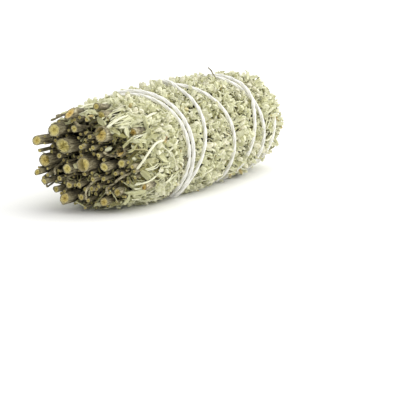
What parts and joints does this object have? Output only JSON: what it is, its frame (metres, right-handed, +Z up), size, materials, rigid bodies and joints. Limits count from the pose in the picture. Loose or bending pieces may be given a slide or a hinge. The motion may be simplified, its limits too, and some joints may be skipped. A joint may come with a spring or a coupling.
{
  "type": "dried herb bundle",
  "caption": "Dried sage-like herb bundle lying on its side, with cut woody stems at the near end, packed curled leaves all round, and cotton thread wound up to the tip and back.",
  "frame": {"origin": "centre of the bounding box, at the surface that the bundle lies on", "axes": "+Z up, +X along the bundle from the cut stems to the leafy tip, +Y across it"},
  "size_m": [0.1111, 0.0387, 0.0357],
  "materials": {
    "foliage": "matt, downy, dried silver-green",
    "woody_stem": "matt ridged bark, paler where cut",
    "cotton": "matt twisted cotton"
  },
  "bodies": {
    "root": {"leafy_spray_01": "foliage", "leafy_spray_02": "foliage", "leafy_spray_03": "foliage", "leafy_spray_04": "foliage", "leafy_spray_05": "foliage", "leafy_spray_06": "foliage", "leafy_spray_07": "foliage", "leafy_spray_08": "foliage", "leafy_spray_09": "foliage", "leafy_spray_10": "foliage", "cut_stem_01": "woody_stem", "cut_stem_02": "woody_stem", "cut_stem_03": "woody_stem", "cut_stem_04": "woody_stem", "cut_stem_05": "woody_stem", "cut_stem_06": "woody_stem", "cut_stem_07": "woody_stem", "cut_stem_08": "woody_stem", "cut_stem_09": "woody_stem", "cut_stem_10": "woody_stem", "cut_stem_11": "woody_stem", "cut_stem_12": "woody_stem", "cut_stem_13": "woody_stem", "cut_stem_14": "woody_stem", "cut_stem_15": "woody_stem", "cut_stem_16": "woody_stem", "cut_stem_17": "woody_stem", "cut_stem_18": "woody_stem", "cut_stem_19": "woody_stem", "cut_stem_20": "woody_stem", "cut_stem_21": "woody_stem", "cut_stem_22": "woody_stem", "cut_stem_23": "woody_stem", "cut_stem_24": "woody_stem", "cut_stem_25": "woody_stem", "cut_stem_26": "woody_stem", "cut_stem_27": "woody_stem", "cut_stem_28": "woody_stem", "cut_stem_29": "woody_stem", "cut_stem_30": "woody_stem", "cut_stem_31": "woody_stem", "cut_stem_32": "woody_stem", "cut_stem_33": "woody_stem", "cut_stem_34": "woody_stem", "cut_stem_35": "woody_stem", "cut_stem_36": "woody_stem", "cotton_thread": "cotton"}
  },
  "joints": []
}
